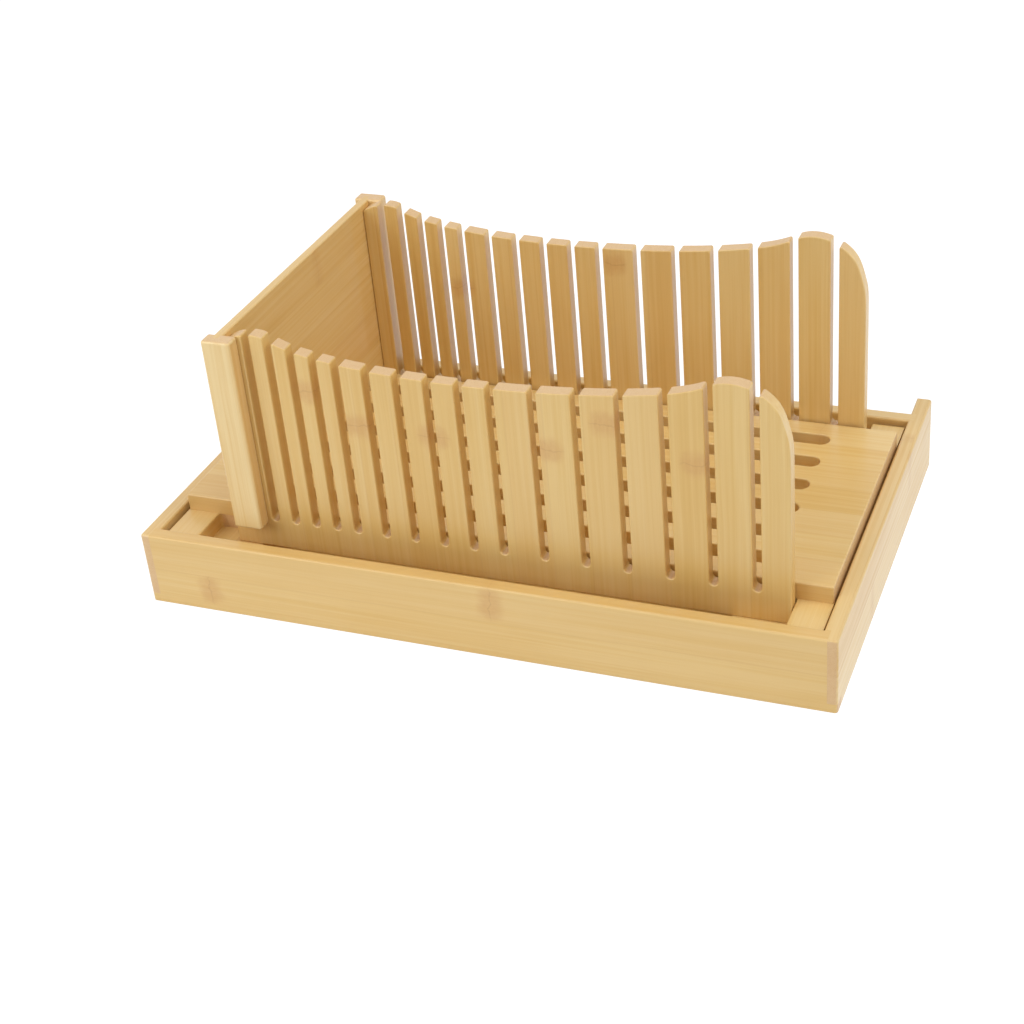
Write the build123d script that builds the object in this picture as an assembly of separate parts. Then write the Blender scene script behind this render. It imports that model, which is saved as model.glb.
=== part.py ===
from build123d import *
import os

# Bamboo bread slicer guide: a crumb tray, a slicer unit that stands in it (floor board on two
# battens, with a slotted guide on each side) and a back rest that drops into the guides.
# Millimetres. X runs along the loaf, -Y is the front, +Z is up. The origin is the middle of
# the tray's footprint, on the surface that the tray stands on.

# --- Crumb tray ---
tray_length = 350.0
tray_width = 220.0
tray_height = 39.3
wall = 7.8  # thickness of the four walls
back_wall_inset = 17.2  # the end walls run on this far behind the back wall
end_lap = 4.8  # what the end walls show of their end grain on the front face
lip_height = 4.6  # height of the lands under the bottom panel
bottom_thick = 4.0
housing = 3.0  # how far the panel and the back wall are let into their neighbours
rim_round = 1.2
corner_round = 1.6

# --- Slicer unit: battens and floor board ---
left_gap = 2.2  # tray wall to batten
right_gap = 1.2
front_gap = 1.2
back_gap = 2.0
batten_top = 36.4
batten_width = 45.0
front_pocket = 22.2  # the routed corners where the guides stand, along Y
back_pocket = 20.5
pocket_floor = 28.0
pocket_undercut = 1.5  # how far the pockets run in under the board
pocket_round = 3.0
rib = 16.9  # width left of the batten beside a pocket
cutter_run = 1.0  # how far a cut starts outside the wood
board_thick = 9.0
board_round = 0.8
crumb_slot_width = 9.4
crumb_slot_pitch = 21.7
crumb_slot_ends = 31.0  # board end to slot end
crumb_slot_margin = 8.0  # least width of board outside the first and last slot
crumb_slot_shift = 0.2  # the slots' middle, seen from the board's middle
batten_dowel_radius = 3.0
batten_dowel_depth = 14.0
board_dowel_depth = 6.0
batten_dowel_inset = 15.0
batten_dowel_spread = 96.0

# --- Guides ---
guide_thick = 7.2
guide_gap = 1.3  # board edge to guide
guide_end_gap = 0.3  # right end of a guide to its pocket wall
guide_left_gap = 15.1  # left end of a guide to its pocket wall
knife_slot = 4.2
knife_slot_floor = 43.0
thin_steps = (4, 11.2)  # how many slots after the first, and their pitch
middle_steps = (5, 15.2)
wide_pitch = 20.4  # from there to the end of the guide
last_slat = 10.0  # least width left at the guide's right end
first_slat = 8.3  # width of the slat beside the back rest
rest_slot = 5.0  # the slot that takes the back rest's panel
rest_slot_inset = 7.5  # guide's left end to that slot
left_crest = 146.0  # heights of the guides' top edge
saddle = 132.1
right_crest = 148.4
saddle_place = 0.455  # share of the guide's length, from the left
saddle_rise = ((0.3, 0.06), (0.7, 0.37), (0.9, 0.77))  # saddle to crest: share of way, of height
crest_inset = 26.3  # a crest's distance from its end of the guide
end_fall = ((13.5, 3.7), (5.8, 10.9), (1.8, 21.5))  # distance from the end, drop below the crest
end_fall_height = 45.0
slat_round = 1.0
guide_edge_round = 0.6
guide_dowel_radius = 2.0
guide_dowel_depth = 10.0
guide_dowel_insets = (6.5, 13.0)  # from the left end and from the right end

# --- Back rest ---
post_width = 15.0
post_thick = 8.2
post_gap = 0.3
post_foot = 42.2
rest_top = 145.0
panel_thick = 4.5
post_lead = 3.6  # the post stands out this far on the panel's far side
post_groove = 4.0
post_round = 1.4
panel_round = 0.9

dowel_fit = 0.05
hair = 0.01  # two places closer than this are the same

# --- Places worked out from the sizes above ---
tray_x = (-tray_length / 2, tray_length / 2)
tray_y = (-tray_width / 2, tray_width / 2)
inside_x = (tray_x[0] + wall, tray_x[1] - wall)
back_wall_y = (tray_y[1] - back_wall_inset - wall, tray_y[1] - back_wall_inset)
inside_y = (tray_y[0] + wall, back_wall_y[0])
bottom_z = (lip_height, lip_height + bottom_thick)

unit_x = (inside_x[0] + left_gap, inside_x[1] - right_gap)
unit_y = (inside_y[0] + front_gap, inside_y[1] - back_gap)
board_y = (unit_y[0] + front_pocket, unit_y[1] - back_pocket)
board_z = (batten_top, batten_top + board_thick)
left_pocket_x = unit_x[0] + rib
right_pocket_x = unit_x[1] - rib

guide_x = (left_pocket_x + guide_left_gap, right_pocket_x - guide_end_gap)
front_guide_y = (board_y[0] - guide_gap - guide_thick, board_y[0] - guide_gap)
back_guide_y = (board_y[1] + guide_gap, board_y[1] + guide_gap + guide_thick)
rest_slot_x = (guide_x[0] + rest_slot_inset, guide_x[0] + rest_slot_inset + rest_slot)

rest_middle = sum(rest_slot_x) / 2
panel_x = (rest_middle - panel_thick / 2, rest_middle + panel_thick / 2)
post_x = (panel_x[0] - post_lead, panel_x[0] - post_lead + post_width)
front_post_y = (front_guide_y[0] - post_gap - post_thick, front_guide_y[0] - post_gap)
back_post_y = (back_guide_y[1] + post_gap, back_guide_y[1] + post_gap + post_thick)
panel_y = (front_post_y[1] - post_groove, back_post_y[0] + post_groove)


def slab(x, y, z):
    """A block between its low and high limits along each axis."""
    block = Box(x[1] - x[0], y[1] - y[0], z[1] - z[0], align=(Align.MIN, Align.MIN, Align.MIN))
    return Pos(x[0], y[0], z[0]) * block


def rounded_along(part, axis, radius, keep=lambda edge: True):
    """Rounds the straight edges of a part that run along one axis and pass a test."""
    edges = [edge for edge in part.edges().filter_by(axis) if keep(edge)]
    return fillet(edges, radius)


def top_edges(part):
    return part.edges().group_by(Axis.Z)[-1]


def save(part, node):
    part.label = node
    export_step(part, f"parts/{node}.step")


def make_tray():
    """The tray's walls are rounded as one after gluing, then told apart along their joints."""
    rear = tray_y[1]
    walls = slab(tray_x, tray_y, (0, tray_height))
    walls -= slab(inside_x, inside_y, (0, tray_height))
    walls -= slab(inside_x, (back_wall_y[1], rear), (0, tray_height))
    walls = rounded_along(walls, Axis.Z, corner_round, lambda edge: abs(edge.center().X) > inside_x[1] + hair)
    walls = fillet(top_edges(walls), rim_round)

    bottom = slab(
        (inside_x[0] - housing, inside_x[1] + housing),
        (inside_y[0] - housing, inside_y[1] + housing),
        bottom_z,
    )
    front_y = (tray_y[0], inside_y[0])
    front_place = slab((tray_x[0] + end_lap, tray_x[1] - end_lap), front_y, (0, tray_height))
    front_place += slab(tray_x, front_y, (0, lip_height))
    back_place = slab((inside_x[0] - housing, inside_x[1] + housing), back_wall_y, (0, tray_height))
    left_place = slab((tray_x[0], inside_x[0]), tray_y, (0, tray_height)) - front_place - back_place
    right_place = slab((inside_x[1], tray_x[1]), tray_y, (0, tray_height)) - front_place - back_place

    save((walls & front_place) - bottom, "tray_front_wall")
    save((walls & back_place) - bottom, "tray_back_wall")
    save((walls & left_place) - bottom, "tray_left_wall")
    save((walls & right_place) - bottom, "tray_right_wall")
    save(bottom, "tray_bottom_panel")


def upright_dowels(places, radius, z):
    """One cylinder for each (x, y) place, between two heights."""
    return [Pos(x, y, (z[0] + z[1]) / 2) * Cylinder(radius, z[1] - z[0]) for x, y in places]


def drilled(part, places, radius, z):
    for hole in upright_dowels(places, radius + dowel_fit, z):
        part -= hole
    return part


def pocket(x, y, wall_x, wall_y):
    """The space routed out of a batten's corner, with its one inner upright corner rounded."""
    space = slab(x, y, (pocket_floor, board_z[1]))
    at_corner = lambda edge: abs(edge.center().X - wall_x) + abs(edge.center().Y - wall_y) < hair
    return rounded_along(space, Axis.Z, pocket_round, at_corner)


def make_batten(node, x, pocket_x, wall_x, board_dowels, guide_dowels):
    batten = slab(x, unit_y, (bottom_z[1], batten_top))
    front_wall_y, back_wall_y = board_y[0] + pocket_undercut, board_y[1] - pocket_undercut
    batten -= pocket(pocket_x, (unit_y[0] - cutter_run, front_wall_y), wall_x, front_wall_y)
    batten -= pocket(pocket_x, (back_wall_y, unit_y[1] + cutter_run), wall_x, back_wall_y)
    rim = [edge for edge in top_edges(batten) if edge.center().Y < board_y[0] or edge.center().Y > board_y[1]]
    batten = fillet(rim, board_round)
    batten = drilled(batten, board_dowels, batten_dowel_radius, (batten_top - batten_dowel_depth, batten_top))
    guide_hole_z = (pocket_floor - guide_dowel_depth, pocket_floor)
    batten = drilled(batten, guide_dowels, guide_dowel_radius, guide_hole_z)
    save(batten, node)


def make_floor_board(dowels):
    board = slab(unit_x, board_y, board_z)
    board = rounded_along(board, Axis.Z, board_round)
    slot_x = (unit_x[0] + crumb_slot_ends, unit_x[1] - crumb_slot_ends)
    slot_plan = SlotOverall(slot_x[1] - slot_x[0], crumb_slot_width)
    middle_y = sum(board_y) / 2 + crumb_slot_shift
    room_y = board_y[1] - board_y[0] - 2 * crumb_slot_margin - crumb_slot_width
    steps = int(room_y // crumb_slot_pitch)
    for number in range(steps + 1):
        slot_y = middle_y + (number - steps / 2) * crumb_slot_pitch
        place = Pos(sum(slot_x) / 2, slot_y, board_z[0])
        board -= place * extrude(slot_plan, board_thick)
    board = fillet(top_edges(board), board_round)
    board = drilled(board, dowels, batten_dowel_radius, (board_z[0], board_z[0] + board_dowel_depth))
    save(board, "floor_board")


def knife_slots():
    """Right edges of the knife slots, worked out from the slice thicknesses."""
    edge = rest_slot_x[1] + first_slat + knife_slot
    edges = [edge]
    for count, pitch in (thin_steps, middle_steps):
        for _ in range(count):
            edge += pitch
            edges.append(edge)
    while edge + wide_pitch < guide_x[1] - last_slat:
        edge += wide_pitch
        edges.append(edge)
    return edges


def guide_side(end, side, crest, low):
    """Points of the rise from the saddle, and the curve from crest to end; side is -1 left, 1 right."""
    peak = (end - side * crest_inset, crest)
    rise = [(low + way * (peak[0] - low), saddle + height * (crest - saddle)) for way, height in saddle_rise]
    fall = [(end - side * inset, crest - drop) for inset, drop in end_fall]
    return rise, Spline(peak, *fall, (end, crest - end_fall_height), tangents=[(side, 0), (0, -1)])


def guide_outline():
    """A guide's face in X and Z: a saddle between two crests, and both ends rounded off."""
    left, right = guide_x
    low = left + saddle_place * (right - left)
    left_rise, left_end = guide_side(left, -1, left_crest, low)
    right_rise, right_end = guide_side(right, 1, right_crest, low)
    points = [left_end @ 0, *reversed(left_rise), (low, saddle), *right_rise, right_end @ 0]
    top = Spline(*points, tangents=[(1, 0), (1, 0)])
    base = Polyline(left_end @ 1, (left, pocket_floor), (right, pocket_floor), right_end @ 1)
    return make_face([left_end, top, right_end, base])


def slot_shape(x, width):
    """A slot open at the top with a round floor; x is its right edge."""
    radius = width / 2
    floor_middle = knife_slot_floor + radius
    height = right_crest + cutter_run - floor_middle
    middle = x - radius
    straight = Pos(middle, floor_middle + height / 2) * Rectangle(width, height)
    return straight + Pos(middle, floor_middle) * Circle(radius)


def make_guide():
    """One guide, its front face on Y = 0. Both sides of the slicer carry the same one."""
    slots = [(edge, knife_slot) for edge in knife_slots()] + [(rest_slot_x[1], rest_slot)]
    face = guide_outline()
    for edge, width in slots:
        face -= slot_shape(edge, width)
    guide = Pos(0, guide_thick, 0) * extrude(Plane.XZ * face, guide_thick)
    for x in [side for edge, width in slots for side in (edge - width, edge)]:
        beside_slot = guide.edges().filter_by(Axis.Y).filter_by_position(Axis.X, x - hair, x + hair)
        guide = fillet(beside_slot.sort_by(Axis.Z)[-1], slat_round)
    rims = guide.edges().group_by(Axis.Y)
    return fillet(rims[0] + rims[-1], guide_edge_round)


def make_back_rest():
    panel = slab(panel_x, panel_y, (board_z[1], rest_top))
    panel = fillet(top_edges(panel).filter_by(Axis.Y), panel_round)
    save(panel, "back_panel")
    for node, y in (("front_post", front_post_y), ("back_post", back_post_y)):
        post = slab(post_x, y, (post_foot, rest_top))
        post = fillet(post.edges(), post_round)
        save(post - panel, node)


def main():
    os.makedirs("parts", exist_ok=True)
    make_tray()
    dowel_y = [sum(board_y) / 2 + side * batten_dowel_spread / 2 for side in (-1, 1)]
    left_dowels = [(unit_x[0] + batten_dowel_inset, y) for y in dowel_y]
    right_dowels = [(unit_x[1] - batten_dowel_inset, y) for y in dowel_y]
    guide_dowel_x = (guide_x[0] + guide_dowel_insets[0], guide_x[1] - guide_dowel_insets[1])
    front_middle, back_middle = sum(front_guide_y) / 2, sum(back_guide_y) / 2

    make_floor_board(left_dowels + right_dowels)
    make_batten(
        "left_batten",
        (unit_x[0], unit_x[0] + batten_width),
        (left_pocket_x, unit_x[0] + batten_width + cutter_run),
        left_pocket_x,
        left_dowels,
        [(guide_dowel_x[0], front_middle), (guide_dowel_x[0], back_middle)],
    )
    make_batten(
        "right_batten",
        (unit_x[1] - batten_width, unit_x[1]),
        (unit_x[1] - batten_width - cutter_run, right_pocket_x),
        right_pocket_x,
        right_dowels,
        [(guide_dowel_x[1], front_middle), (guide_dowel_x[1], back_middle)],
    )
    board_dowel_z = (batten_top - batten_dowel_depth, board_z[0] + board_dowel_depth)
    for node, places in (("left_batten_dowels", left_dowels), ("right_batten_dowels", right_dowels)):
        save(Compound(upright_dowels(places, batten_dowel_radius, board_dowel_z)), node)

    guide = make_guide()
    socket_z = (pocket_floor, pocket_floor + guide_dowel_depth)
    guide_dowel_z = (pocket_floor - guide_dowel_depth, pocket_floor + guide_dowel_depth)
    for side, y, middle in (("front", front_guide_y, front_middle), ("back", back_guide_y, back_middle)):
        places = [(x, middle) for x in guide_dowel_x]
        placed = drilled(Pos(0, y[0], 0) * guide, places, guide_dowel_radius, socket_z)
        save(placed, f"{side}_guide")
        save(Compound(upright_dowels(places, guide_dowel_radius, guide_dowel_z)), f"{side}_guide_dowels")
    make_back_rest()


main()
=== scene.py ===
from math import radians

import bpy
import numpy as np
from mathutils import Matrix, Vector


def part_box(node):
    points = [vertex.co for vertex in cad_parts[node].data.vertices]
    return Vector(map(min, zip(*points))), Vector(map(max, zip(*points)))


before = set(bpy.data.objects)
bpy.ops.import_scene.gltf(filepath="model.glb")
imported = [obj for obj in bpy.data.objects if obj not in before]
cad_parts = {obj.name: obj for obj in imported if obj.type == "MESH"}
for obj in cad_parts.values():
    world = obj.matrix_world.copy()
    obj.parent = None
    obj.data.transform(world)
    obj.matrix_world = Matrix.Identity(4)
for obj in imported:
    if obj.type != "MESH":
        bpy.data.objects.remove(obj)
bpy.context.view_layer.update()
millimetre = 0.001
print("loaded the bread slicer guide's frame")


def feed(tree, value, socket):
    if isinstance(value, bpy.types.NodeSocket):
        tree.links.new(value, socket)
    elif value is not None:
        socket.default_value = value


def calc(tree, operation, *values):
    node = tree.nodes.new("ShaderNodeMath")
    node.operation = operation
    for socket, value in zip(node.inputs, values):
        feed(tree, value, socket)
    return node.outputs[0]


def vectorCalc(tree, operation, *values):
    node = tree.nodes.new("ShaderNodeVectorMath")
    node.operation = operation
    for socket, value in zip(node.inputs, values):
        feed(tree, value, socket)
    return node.outputs[0]


def split(tree, vector):
    node = tree.nodes.new("ShaderNodeSeparateXYZ")
    feed(tree, vector, node.inputs[0])
    return node.outputs


def join(tree, x, y, z):
    node = tree.nodes.new("ShaderNodeCombineXYZ")
    for socket, value in zip(node.inputs, (x, y, z)):
        feed(tree, value, socket)
    return node.outputs[0]


def remap(tree, value, low, high, newLow=0.0, newHigh=1.0, smooth=False):
    node = tree.nodes.new("ShaderNodeMapRange")
    node.interpolation_type = "SMOOTHSTEP" if smooth else "LINEAR"
    for socket, number in zip(node.inputs, (value, low, high, newLow, newHigh)):
        feed(tree, number, socket)
    return node.outputs[0]


def noise(tree, vector, detail=2.0, roughness=0.5, scale=1.0):
    node = tree.nodes.new("ShaderNodeTexNoise")
    feed(tree, vector, node.inputs["Vector"])
    node.inputs["Scale"].default_value = scale
    node.inputs["Detail"].default_value = detail
    node.inputs["Roughness"].default_value = roughness
    return node.outputs[0]


def randomOf(tree, vector):
    node = tree.nodes.new("ShaderNodeTexWhiteNoise")
    node.noise_dimensions = "3D"
    feed(tree, vector, node.inputs["Vector"])
    return node.outputs[0], node.outputs[1]


def mixColour(tree, factor, first, second, blend="MIX"):
    node = tree.nodes.new("ShaderNodeMix")
    node.data_type = "RGBA"
    node.blend_type = blend
    feed(tree, factor, node.inputs[0])
    feed(tree, first, node.inputs[6])
    feed(tree, second, node.inputs[7])
    return node.outputs[2]


# A colour as written on a screen, 0 to 255, as the linear one that shaders take.
def linear(rgb):
    part = np.array(rgb, float) / 255
    part = np.where(part <= 0.04045, part / 12.92, ((part + 0.055) / 1.055) ** 2.4)
    return (*part.tolist(), 1.0)


def newGroup(name, inputs, outputs):
    tree = bpy.data.node_groups.new(name, "ShaderNodeTree")
    for label, kind, value in inputs:
        socket = tree.interface.new_socket(label, in_out="INPUT", socket_type=kind)
        if value is not None:
            socket.default_value = value
    for label, kind in outputs:
        tree.interface.new_socket(label, in_out="OUTPUT", socket_type=kind)
    return tree, tree.nodes.new("NodeGroupInput").outputs, tree.nodes.new("NodeGroupOutput").inputs


def place(tree, group, **values):
    node = tree.nodes.new("ShaderNodeGroup")
    node.node_tree = group
    for label, value in values.items():
        feed(tree, value, node.inputs[label])
    return node.outputs


stripLook = {
    "seamWidth": 0.00022,
    "seamSoftness": 0.00035,
    "tintOffset": (17.3, 5.1, 2.9),  # draws the tint apart from the tone
    "shiftReach": 3.0,  # how far a strip's grain is moved along itself, at most
}


# Cuts grain space (along, across, through) into strips, each with its own random numbers.
def makeStripGroup():
    tree, given, out = newGroup(
        "bambooStrips",
        [
            ("Place", "NodeSocketVector", None),
            ("Strip", "NodeSocketFloat", 0.019),
            ("Layer", "NodeSocketFloat", 0.009),
            ("Seed", "NodeSocketFloat", 0.0),
        ],
        [
            ("Tone", "NodeSocketFloat"),
            ("Tint", "NodeSocketFloat"),
            ("Shift", "NodeSocketVector"),
            ("Seam", "NodeSocketFloat"),
        ],
    )
    along, across, through = split(tree, given["Place"])
    acrossCount = calc(tree, "DIVIDE", across, given["Strip"])
    throughCount = calc(tree, "DIVIDE", through, given["Layer"])
    number = join(
        tree,
        calc(tree, "FLOOR", acrossCount),
        calc(tree, "FLOOR", throughCount),
        given["Seed"],
    )
    tone, shift = randomOf(tree, number)
    tint, _ = randomOf(tree, vectorCalc(tree, "ADD", number, stripLook["tintOffset"]))
    fraction = calc(tree, "FRACT", acrossCount)
    fromMiddle = calc(tree, "ABSOLUTE", calc(tree, "SUBTRACT", fraction, 0.5))
    toSeam = calc(tree, "MULTIPLY", calc(tree, "SUBTRACT", 0.5, fromMiddle), given["Strip"])
    width = stripLook["seamWidth"]
    seam = remap(tree, toSeam, width, width + stripLook["seamSoftness"], 1.0, 0.0, smooth=True)
    feed(tree, tone, out["Tone"])
    feed(tree, tint, out["Tint"])
    moved = vectorCalc(tree, "SCALE", shift, None, None, stripLook["shiftReach"])
    feed(tree, moved, out["Shift"])
    feed(tree, seam, out["Seam"])
    return tree


fibreLook = {  # how many waves to the metre along, across and through the grain
    "cloud": (9.0, 42.0, 42.0),
    "streak": (5.5, 480.0, 480.0),
    "fibre": (26.0, 1900.0, 1900.0),
    "sway": (14.0, 30.0, 30.0),
    "swayReach": 0.0007,
}


# Cloud, streak and fibre: noise drawn out along the grain, at three widths.
def makeFibreGroup():
    tree, given, out = newGroup(
        "bambooFibres",
        [("Place", "NodeSocketVector", None), ("Shift", "NodeSocketVector", None)],
        [("Cloud", "NodeSocketFloat"), ("Streak", "NodeSocketFloat"), ("Fibre", "NodeSocketFloat")],
    )
    moved = vectorCalc(tree, "ADD", given["Place"], given["Shift"])
    sway = noise(tree, vectorCalc(tree, "MULTIPLY", moved, fibreLook["sway"]), detail=1.0)
    sway = calc(tree, "MULTIPLY", calc(tree, "SUBTRACT", sway, 0.5), 2 * fibreLook["swayReach"])
    bent = vectorCalc(tree, "ADD", moved, join(tree, 0.0, sway, sway))
    cloud = noise(tree, vectorCalc(tree, "MULTIPLY", moved, fibreLook["cloud"]), detail=2.0)
    streak = noise(tree, vectorCalc(tree, "MULTIPLY", bent, fibreLook["streak"]), detail=3.0, roughness=0.6)
    fibre = noise(tree, vectorCalc(tree, "MULTIPLY", bent, fibreLook["fibre"]), detail=2.0)
    feed(tree, cloud, out["Cloud"])
    feed(tree, streak, out["Streak"])
    feed(tree, fibre, out["Fibre"])
    return tree


knuckleLook = {
    "halfLength": 0.0075,
    "lineHalfWidth": 0.0006,
    "ragged": 0.006,
    "raggedWaves": 170.0,
    "fade": (0.25, 1.15),  # where the blotch starts to fade and ends, in shares of its reach
    "speckleWaves": (320.0, 900.0, 900.0),
    "speckle": (0.3, 0.7, 0.7, 1.0),  # noise from, to, and the strength there
}


# One knuckle of the cane: a ragged blotch over the strip's width, with a fine line across.
def makeKnuckleGroup():
    tree, given, out = newGroup(
        "bambooKnuckle",
        [
            ("Place", "NodeSocketVector", None),
            ("Centre along", "NodeSocketFloat", 0.0),
            ("Centre across", "NodeSocketFloat", 0.0),
            ("Half width", "NodeSocketFloat", 0.008),
        ],
        [("Blotch", "NodeSocketFloat"), ("Line", "NodeSocketFloat")],
    )
    along, across, _ = split(tree, given["Place"])
    ragged = noise(tree, given["Place"], detail=2.0, scale=knuckleLook["raggedWaves"])
    ragged = calc(tree, "MULTIPLY", calc(tree, "SUBTRACT", ragged, 0.5), knuckleLook["ragged"])
    du = calc(tree, "ADD", calc(tree, "SUBTRACT", along, given["Centre along"]), ragged)
    dv = calc(tree, "SUBTRACT", across, given["Centre across"])
    uPart = calc(tree, "DIVIDE", du, knuckleLook["halfLength"])
    vPart = calc(tree, "DIVIDE", dv, given["Half width"])
    squares = calc(tree, "ADD", calc(tree, "POWER", uPart, 2.0), calc(tree, "POWER", vPart, 4.0))
    reach = calc(tree, "SQRT", squares)
    blotch = remap(tree, reach, *knuckleLook["fade"], 1.0, 0.0, smooth=True)
    spotted = vectorCalc(tree, "MULTIPLY", given["Place"], knuckleLook["speckleWaves"])
    speckle = remap(tree, noise(tree, spotted, detail=2.0), *knuckleLook["speckle"])
    blotch = calc(tree, "MULTIPLY", blotch, speckle)
    line = remap(tree, calc(tree, "ABSOLUTE", du), 0.0, knuckleLook["lineHalfWidth"], 1.0, 0.0, smooth=True)
    feed(tree, blotch, out["Blotch"])
    feed(tree, calc(tree, "MULTIPLY", line, blotch), out["Line"])
    return tree


strayLook = {
    "cell": 0.21,
    "share": 0.62,
    "fade": (0.001, 0.0065),  # from the middle, where it starts to fade and ends
    "ragged": 0.005,
    "speckle": (0.3, 0.7, 0.65, 1.0),
}


# Knuckles at random places, at most one to each length of a strip, where none is listed.
def makeStrayGroup():
    tree, given, out = newGroup(
        "bambooStrayKnuckles",
        [
            ("Place", "NodeSocketVector", None),
            ("Shift", "NodeSocketVector", None),
            ("Tone", "NodeSocketFloat", 0.5),
            ("Seed", "NodeSocketFloat", 0.0),
        ],
        [("Blotch", "NodeSocketFloat"), ("Line", "NodeSocketFloat")],
    )
    along = split(tree, given["Place"])[0]
    shiftAlong = split(tree, given["Shift"])[0]
    ragged = noise(tree, given["Place"], detail=2.0, scale=knuckleLook["raggedWaves"])
    ragged = calc(tree, "MULTIPLY", calc(tree, "SUBTRACT", ragged, 0.5), strayLook["ragged"])
    started = calc(tree, "ADD", calc(tree, "ADD", along, shiftAlong), ragged)
    cells = calc(tree, "DIVIDE", started, strayLook["cell"])
    inCell = calc(tree, "SUBTRACT", calc(tree, "FRACT", cells), 0.5)
    du = calc(tree, "MULTIPLY", calc(tree, "ABSOLUTE", inCell), strayLook["cell"])
    chance, _ = randomOf(tree, join(tree, calc(tree, "FLOOR", cells), given["Tone"], given["Seed"]))
    here = calc(tree, "LESS_THAN", chance, strayLook["share"])
    spotted = vectorCalc(tree, "MULTIPLY", given["Place"], knuckleLook["speckleWaves"])
    speckle = remap(tree, noise(tree, spotted, detail=2.0), *strayLook["speckle"])
    speckle = calc(tree, "MULTIPLY", speckle, here)
    blotch = remap(tree, du, *strayLook["fade"], 1.0, 0.0, smooth=True)
    line = remap(tree, du, 0.0, knuckleLook["lineHalfWidth"], 1.0, 0.0, smooth=True)
    feed(tree, calc(tree, "MULTIPLY", blotch, speckle), out["Blotch"])
    feed(tree, calc(tree, "MULTIPLY", line, speckle), out["Line"])
    return tree


# Ranges are of the noise or level that drives them, then what comes out.
bambooPaint = {
    "pale": (239, 211, 152),
    "golden": (229, 193, 126),
    "straw": (216, 173, 100),
    # honey: partly the wood's own warm tone, partly painted warm shade, mixed into each piece by its warmth
    "honeyToneAndShade": (223, 181, 92),
    "pinkish": (232, 196, 144),
    "endGrain": (222, 184, 138),
    "endPores": (190, 146, 96),
    "seam": (204, 160, 96),
    "knuckle": (205, 150, 88),
    "knuckleLine": (178, 124, 66),
    "toneSpread": 0.45,
    "cloudSpread": 1.15,
    "streakSpread": 1.6,
    "middle": 0.40,
    "goldenRange": (0.0, 0.6),
    "strawRange": (0.55, 1.2),
    "tintSpread": 0.35,
    "tintRange": (0.45, 1.0),
    "fibreRange": (0.5, 0.78, 0.0, 0.25),
    "knuckleStrength": 0.5,
    "lineStrength": 0.3,
    "seamStrength": 0.14,
    "poreWaves": (90.0, 2600.0, 2600.0),
    "poreRange": (0.45, 0.7, 0.0, 0.45),
    "endStrength": 0.75,
}

bambooFinish = {
    "roughness": (0.3, 0.7, 0.36, 0.48),
    "endRoughness": 0.12,  # what sawn ends add
    "fibreHeight": 0.5,
    "streakHeight": 0.35,
    "seamDepth": 0.5,
}
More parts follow.
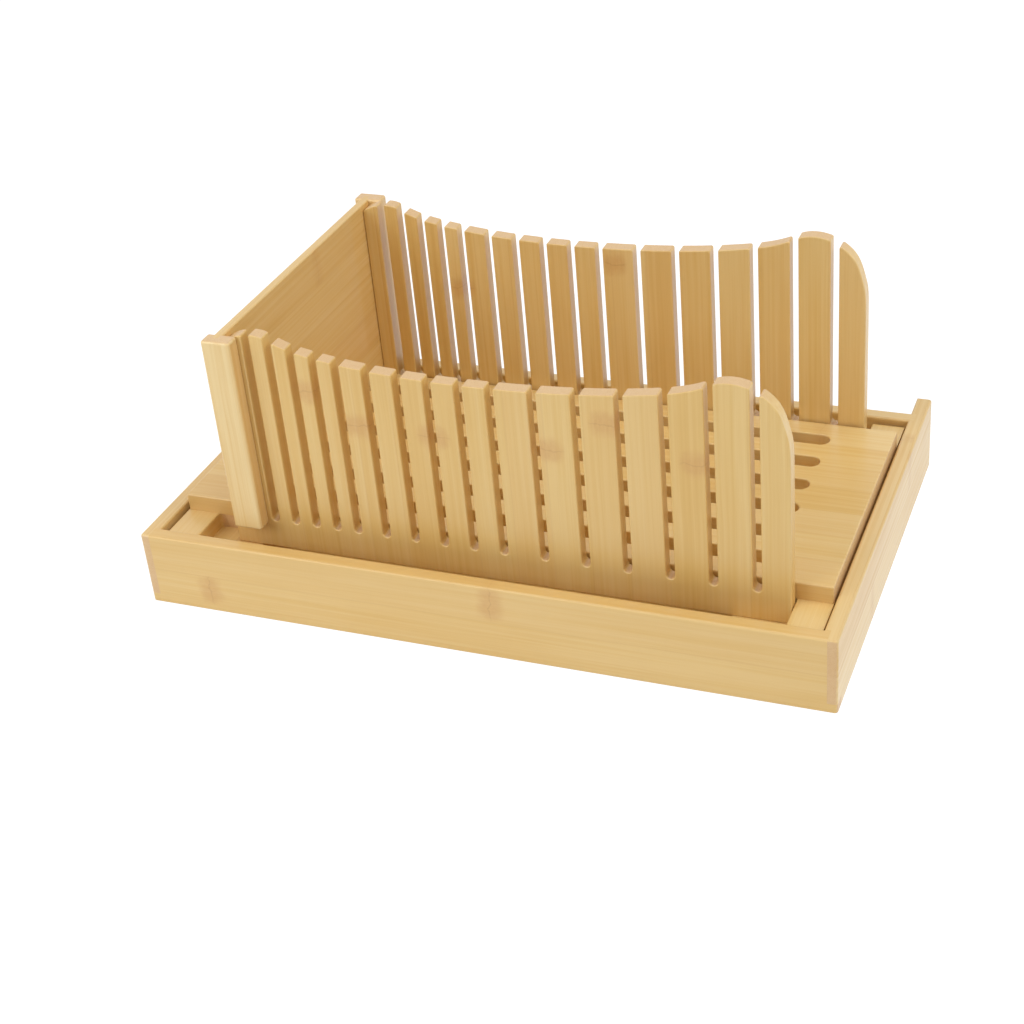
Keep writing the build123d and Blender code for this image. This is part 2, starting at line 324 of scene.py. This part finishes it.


# Everything that bamboo shows on a planed and lacquered face, from grain space, with a per-piece warmth that
# is partly painted shade.
def makeBambooGroup(strips, fibres, stray):
    tree, given, out = newGroup(
        "bambooSurface",
        [
            ("Place", "NodeSocketVector", None),
            ("Strip", "NodeSocketFloat", 0.019),
            ("Layer", "NodeSocketFloat", 0.009),
            ("Seed", "NodeSocketFloat", 0.0),
            ("Warmth", "NodeSocketFloat", 0.0),
            ("End grain", "NodeSocketFloat", 0.0),
            ("Knuckle", "NodeSocketFloat", 0.0),
            ("Knuckle line", "NodeSocketFloat", 0.0),
            ("Stray amount", "NodeSocketFloat", 1.0),
        ],
        [("Colour", "NodeSocketColor"), ("Roughness", "NodeSocketFloat"), ("Height", "NodeSocketFloat")],
    )
    paint = bambooPaint
    strip = place(tree, strips, **{name: given[name] for name in ("Place", "Strip", "Layer", "Seed")})
    fibre = place(tree, fibres, Place=given["Place"], Shift=strip["Shift"])
    wild = place(
        tree, stray, Place=given["Place"], Shift=strip["Shift"], Tone=strip["Tone"], Seed=given["Seed"]
    )
    wildBlotch = calc(tree, "MULTIPLY", wild["Blotch"], given["Stray amount"])
    wildLine = calc(tree, "MULTIPLY", wild["Line"], given["Stray amount"])
    blotch = calc(tree, "MAXIMUM", given["Knuckle"], wildBlotch)
    line = calc(tree, "MAXIMUM", given["Knuckle line"], wildLine)

    # Tone of the strip, slow clouds and thin streaks add up to one level from pale to straw.
    level = paint["middle"]
    parts = {"toneSpread": strip["Tone"], "cloudSpread": fibre["Cloud"], "streakSpread": fibre["Streak"]}
    for spread, value in parts.items():
        share = calc(tree, "MULTIPLY", calc(tree, "SUBTRACT", value, 0.5), paint[spread])
        level = calc(tree, "ADD", level, share)
    share = remap(tree, level, *paint["goldenRange"])
    colour = mixColour(tree, share, linear(paint["pale"]), linear(paint["golden"]))
    colour = mixColour(tree, remap(tree, level, *paint["strawRange"]), colour, linear(paint["straw"]))
    tint = calc(tree, "MULTIPLY", remap(tree, strip["Tint"], *paint["tintRange"]), paint["tintSpread"])
    colour = mixColour(tree, tint, colour, linear(paint["pinkish"]))
    # Warmth mixes the piece towards honey: partly the piece's own tone, partly painted shade and sheen, set
    # per piece to how lit it looks
    colour = mixColour(tree, given["Warmth"], colour, linear(paint["honeyToneAndShade"]))
    dark = remap(tree, fibre["Fibre"], *paint["fibreRange"])
    colour = mixColour(tree, dark, colour, linear(paint["straw"]))
    marks = (
        (strip["Seam"], "seamStrength", "seam"),
        (blotch, "knuckleStrength", "knuckle"),
        (line, "lineStrength", "knuckleLine"),
    )
    for mask, strength, stain in marks:
        colour = mixColour(tree, calc(tree, "MULTIPLY", mask, paint[strength]), colour, linear(paint[stain]))

    # Sawn ends show the fibres as pores.
    pores = noise(tree, vectorCalc(tree, "MULTIPLY", given["Place"], paint["poreWaves"]), detail=2.0)
    pores = remap(tree, pores, *paint["poreRange"])
    ends = mixColour(tree, pores, linear(paint["endGrain"]), linear(paint["endPores"]))
    share = calc(tree, "MULTIPLY", given["End grain"], paint["endStrength"])
    colour = mixColour(tree, share, colour, ends)
    feed(tree, colour, out["Colour"])

    finish = bambooFinish
    rough = remap(tree, fibre["Streak"], *finish["roughness"])
    rough = calc(tree, "ADD", rough, calc(tree, "MULTIPLY", given["End grain"], finish["endRoughness"]))
    feed(tree, rough, out["Roughness"])
    fine = calc(tree, "MULTIPLY", fibre["Fibre"], finish["fibreHeight"])
    streaks = calc(tree, "MULTIPLY", fibre["Streak"], finish["streakHeight"])
    seams = calc(tree, "MULTIPLY", strip["Seam"], finish["seamDepth"])
    feed(tree, calc(tree, "SUBTRACT", calc(tree, "ADD", fine, streaks), seams), out["Height"])
    return tree


stripGroup = makeStripGroup()
fibreGroup = makeFibreGroup()
knuckleGroup = makeKnuckleGroup()
bambooGroup = makeBambooGroup(stripGroup, fibreGroup, makeStrayGroup())
print("built the bamboo groups")


lacquer = {"coat": 0.45, "coatRoughness": 0.24, "bumpDistance": 0.00006, "bumpStrength": 0.35}
axisOf = {"X": 0, "Y": 1, "Z": 2}
endFacing = (0.6, 0.95)  # how squarely a face cuts the grain to show its ends
layerSlack = 1.0001  # keeps the last layer's far face inside that layer


# The part's own place and facing, turned to (along, across, through) the grain.
def grainSpace(tree, piece, low):
    given = tree.nodes.new("ShaderNodeTexCoord").outputs
    moved = split(tree, vectorCalc(tree, "SUBTRACT", given["Object"], low))
    facing = split(tree, given["Normal"])
    axes = [axisOf[letter] for letter in piece["grain"]]
    endGrain = remap(tree, calc(tree, "ABSOLUTE", facing[axes[0]]), *endFacing, smooth=True)
    return join(tree, *(moved[axis] for axis in axes)), endGrain


# Grain runs along the first letter of piece["grain"]. Marks are knuckles seen on the real piece.
def makeBamboo(name, piece):
    low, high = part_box(name)
    alongAxis, acrossAxis, throughAxis = (axisOf[letter] for letter in piece["grain"])
    stripWidth = (high[acrossAxis] - low[acrossAxis]) / piece["strips"]
    layerDepth = (high[throughAxis] - low[throughAxis]) / piece["layers"] * layerSlack
    material = bpy.data.materials.new(name + "Bamboo")
    material.use_nodes = True
    tree = material.node_tree
    shader = tree.nodes["Principled BSDF"]
    grain, endGrain = grainSpace(tree, piece, low)
    blotch, line = 0.0, 0.0
    for along, across, halfWidth in piece.get("marks", ()):
        mark = place(
            tree,
            knuckleGroup,
            Place=grain,
            **{
                "Centre along": along * millimetre - low[alongAxis],
                "Centre across": across * millimetre - low[acrossAxis],
                "Half width": halfWidth * millimetre,
            },
        )
        blotch = calc(tree, "MAXIMUM", blotch, mark["Blotch"])
        line = calc(tree, "MAXIMUM", line, mark["Line"])
    surface = place(
        tree,
        bambooGroup,
        Place=grain,
        Strip=stripWidth,
        Layer=layerDepth,
        Seed=float(piece["seed"]),
        Warmth=piece.get("warmthAndShade", 0.0),
        Knuckle=blotch,
        **{"End grain": endGrain, "Knuckle line": line, "Stray amount": piece.get("stray", 1.0)},
    )
    bump = tree.nodes.new("ShaderNodeBump")
    bump.inputs["Distance"].default_value = lacquer["bumpDistance"]
    bump.inputs["Strength"].default_value = lacquer["bumpStrength"]
    feed(tree, surface["Height"], bump.inputs["Height"])
    feed(tree, surface["Colour"], shader.inputs["Base Color"])
    feed(tree, surface["Roughness"], shader.inputs["Roughness"])
    feed(tree, bump.outputs[0], shader.inputs["Normal"])
    shader.inputs["Coat Weight"].default_value = lacquer["coat"]
    shader.inputs["Coat Roughness"].default_value = lacquer["coatRoughness"]
    return material


# Grain is (along, across, through). A mark is (along, across, half width), in millimetres in the part's own
# frame. Stray is how strongly knuckles show that no mark places.
# Warmth is partly each piece's own tone, partly painted shade: higher on pieces that sit in shade, such as
# the battens with their pockets and the guides' lower faces, and low on the right wall, which paints some of
# its pale sheen.
bambooPieces = {
    "tray_front_wall": {
        "grain": "XZY", "strips": 2, "layers": 1, "seed": 11, "stray": 0.0, "warmthAndShade": 0.42,
        "marks": [(-140, 12, 9), (11, 30, 10)],
    },
    "tray_back_wall": {"grain": "XZY", "strips": 2, "layers": 1, "seed": 12, "warmthAndShade": 0.2},
    "tray_left_wall": {"grain": "YZX", "strips": 2, "layers": 1, "seed": 13},
    "tray_right_wall": {"grain": "YZX", "strips": 2, "layers": 1, "seed": 14, "stray": 0.5, "warmthAndShade": 0.1},
    "tray_bottom_panel": {"grain": "XYZ", "strips": 10, "layers": 1, "seed": 15, "warmthAndShade": 0.7},
    "floor_board": {"grain": "XYZ", "strips": 7, "layers": 2, "seed": 21, "stray": 0.4, "warmthAndShade": 0.32},
    "left_batten": {"grain": "YXZ", "strips": 3, "layers": 2, "seed": 22, "warmthAndShade": 0.35},
    "right_batten": {"grain": "YXZ", "strips": 3, "layers": 2, "seed": 23, "warmthAndShade": 0.35},
    "front_guide": {
        "grain": "ZXY", "strips": 15, "layers": 1, "seed": 31, "stray": 0.0, "warmthAndShade": 0.45,
        "marks": [(119, -83, 7), (104, -58, 9), (103, -19, 9), (104, 37, 9), (121, 66, 9), (106, 107, 9)],
    },
    "back_guide": {
        "grain": "ZXY", "strips": 15, "layers": 1, "seed": 32, "stray": 0.0, "warmthAndShade": 0.36,
        "marks": [(102, -67, 8), (124, 19, 7)],
    },
    "back_panel": {"grain": "YZX", "strips": 5, "layers": 1, "seed": 41, "stray": 0.4, "warmthAndShade": 0.26},
    "front_post": {"grain": "ZXY", "strips": 1, "layers": 1, "seed": 42, "stray": 0.0},
    "back_post": {"grain": "ZXY", "strips": 1, "layers": 1, "seed": 43, "stray": 0.0},
}

for name, piece in bambooPieces.items():
    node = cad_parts[name]
    node.data.materials.clear()
    node.data.materials.append(makeBamboo(name, piece))


dowelLook = {
    "pale": (222, 190, 140),
    "dark": (196, 158, 104),
    "waves": (2200.0, 2200.0, 60.0),
    "range": (0.35, 0.65),
    "roughness": 0.6,
}


def makeDowelWood():
    material = bpy.data.materials.new("dowelWood")
    material.use_nodes = True
    tree = material.node_tree
    shader = tree.nodes["Principled BSDF"]
    coordinates = tree.nodes.new("ShaderNodeTexCoord").outputs["Object"]
    grain = noise(tree, vectorCalc(tree, "MULTIPLY", coordinates, dowelLook["waves"]), detail=3.0)
    share = remap(tree, grain, *dowelLook["range"])
    colour = mixColour(tree, share, linear(dowelLook["pale"]), linear(dowelLook["dark"]))
    feed(tree, colour, shader.inputs["Base Color"])
    shader.inputs["Roughness"].default_value = dowelLook["roughness"]
    return material


dowelWood = makeDowelWood()
for name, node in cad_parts.items():
    if name.endswith("_dowels"):
        node.data.materials.clear()
        node.data.materials.append(dowelWood)
print("finished", len(bambooPieces), "bamboo pieces and the dowels")


studio = {
    "floorSize": 6.0,
    "floorDrop": 0.0002,  # keeps it just clear of the tray's feet
    "floorPaint": 0.9,
    "floorGlow": 0.78,  # share of plain white that only a camera or a mirror sees
    "glowStrength": 1.2,
    "skyStrength": 0.42,
    "skyPaint": (1.0, 1.0, 1.0, 1.0),
}


# 1 for rays from the camera or off a glossy surface or through glass, else 0.
def seenDirectly(tree):
    path = tree.nodes.new("ShaderNodeLightPath").outputs
    seen = calc(tree, "MAXIMUM", path["Is Camera Ray"], path["Is Glossy Ray"])
    return calc(tree, "MAXIMUM", seen, path["Is Transmission Ray"])


def makeFloor():
    half = studio["floorSize"] / 2
    corners = np.array([(-half, -half), (half, -half), (half, half), (-half, half)])
    mesh = bpy.data.meshes.new("studioFloor")
    mesh.from_pydata([(x, y, -studio["floorDrop"]) for x, y in corners.tolist()], [], [(0, 1, 2, 3)])
    floor = bpy.data.objects.new("studioFloor", mesh)
    bpy.context.scene.collection.objects.link(floor)
    material = bpy.data.materials.new("studioFloor")
    material.use_nodes = True
    tree = material.node_tree
    tree.nodes.remove(tree.nodes["Principled BSDF"])
    matt = tree.nodes.new("ShaderNodeBsdfDiffuse")
    matt.inputs["Color"].default_value = (studio["floorPaint"],) * 3 + (1.0,)
    glow = tree.nodes.new("ShaderNodeEmission")
    glow.inputs["Strength"].default_value = studio["glowStrength"]
    mix = tree.nodes.new("ShaderNodeMixShader")
    feed(tree, calc(tree, "MULTIPLY", seenDirectly(tree), studio["floorGlow"]), mix.inputs[0])
    feed(tree, matt.outputs[0], mix.inputs[1])
    feed(tree, glow.outputs[0], mix.inputs[2])
    feed(tree, mix.outputs[0], tree.nodes["Material Output"].inputs[0])
    mesh.materials.append(material)


def makeSky():
    world = bpy.data.worlds.new("studioSky")
    world.use_nodes = True
    bpy.context.scene.world = world
    tree = world.node_tree
    background = tree.nodes["Background"]
    background.inputs["Color"].default_value = studio["skyPaint"]
    seen = seenDirectly(tree)
    strength = remap(tree, seen, 0.0, 1.0, studio["skyStrength"], 1.0)
    feed(tree, strength, background.inputs["Strength"])


lamps = {  # soft boxes: place, what they aim at, size (m) and power (W)
    "frontLeft": {"place": (-0.8, -0.95, 0.8), "aim": (0.0, 0.0, 0.05), "size": 0.9, "power": 7.0},
    "right": {"place": (2.1, -0.3, 1.5), "aim": (0.0, 0.0, 0.05), "size": 1.1, "power": 15.0},
    "overhead": {"place": (0.35, 0.1, 2.1), "aim": (0.0, 0.0, 0.0), "size": 1.3, "power": 13.5},
}


def makeLamps():
    for name, lamp in lamps.items():
        data = bpy.data.lights.new(name, "AREA")
        data.shape = "SQUARE"
        data.size = lamp["size"]
        data.energy = lamp["power"]
        light = bpy.data.objects.new(name, data)
        light.location = lamp["place"]
        toAim = Vector(lamp["aim"]) - Vector(lamp["place"])
        light.rotation_euler = toAim.to_track_quat("-Z", "Y").to_euler()
        bpy.context.scene.collection.objects.link(light)


cameraLook = {
    "place": (0.31805, -0.75425, 0.53239),
    "turn": (58.598, 3.969, 19.976),  # degrees about X, Y and Z
    "lens": 65.9,
    "sensor": 36.0,
    "shift": (-0.0488, -0.0391),
    "clipStart": 0.01,
}


def makeCamera():
    data = bpy.data.cameras.new("photoCamera")
    data.sensor_width = cameraLook["sensor"]
    data.lens = cameraLook["lens"]
    data.shift_x, data.shift_y = cameraLook["shift"]
    data.clip_start = cameraLook["clipStart"]
    camera = bpy.data.objects.new("photoCamera", data)
    camera.location = cameraLook["place"]
    camera.rotation_euler = [radians(angle) for angle in cameraLook["turn"]]
    bpy.context.scene.collection.objects.link(camera)
    bpy.context.scene.camera = camera


makeFloor()
makeSky()
makeLamps()
makeCamera()
bpy.context.scene.view_settings.view_transform = "Standard"
print("set the floor, the lights and the camera")
